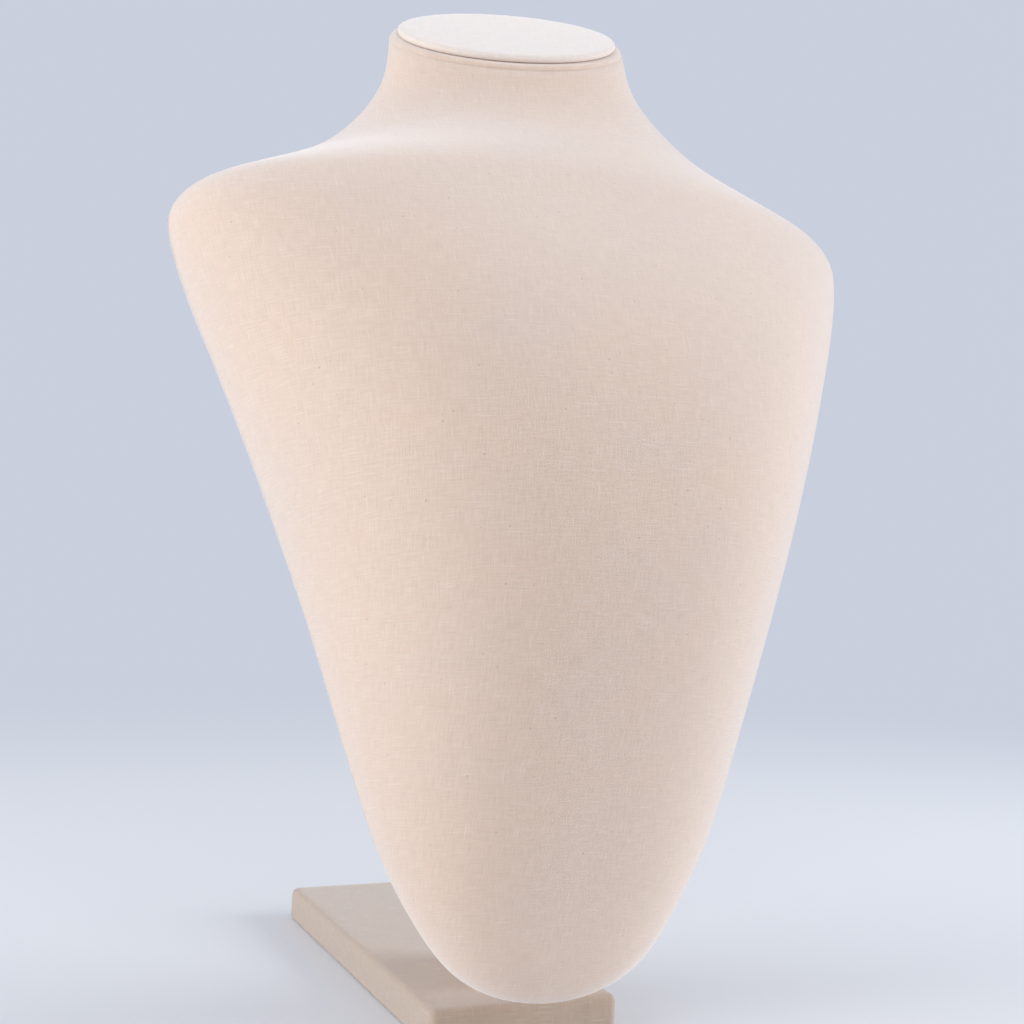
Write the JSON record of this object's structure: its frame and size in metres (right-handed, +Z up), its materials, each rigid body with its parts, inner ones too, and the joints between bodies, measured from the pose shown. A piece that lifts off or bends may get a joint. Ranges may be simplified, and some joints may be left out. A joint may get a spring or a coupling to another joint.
{
  "type": "necklace display bust",
  "caption": "Empty fabric-covered neck-and-shoulders bust for showing necklaces, leaning back on a post over a long narrow base plate.",
  "frame": {"origin": "centre of the base plate's underside, on the table", "axes": "+Z up, -Y the front of the bust, +X to the right as seen from the front"},
  "size_m": [0.234, 0.2226, 0.3471],
  "materials": {
    "linen": "matt cream linen weave",
    "linen_cap": "matt cream linen weave",
    "linen_base": "matt cream linen weave",
    "moulding": "matt off-white moulded plastic",
    "board": "sanded fibreboard",
    "wood": "sawn pine",
    "steel": "zinc-plated",
    "liner": "dark foam sheet"
  },
  "bodies": {
    "root": {"front_shell": "moulding", "nape_shell": "moulding", "front_cover": "linen", "nape_cover": "linen", "rim_hem": "linen", "mounting_block": "wood", "back_board": "board", "back_cover": "linen", "neck_plug": "board", "cap_board": "board", "cap_cover": "linen_cap", "support_post": "board", "post_cover": "linen", "back_screws": "steel", "base_board": "board", "base_cover": "linen_base", "base_liner": "liner", "base_screws": "steel", "base_weight": "steel"}
  },
  "joints": []
}
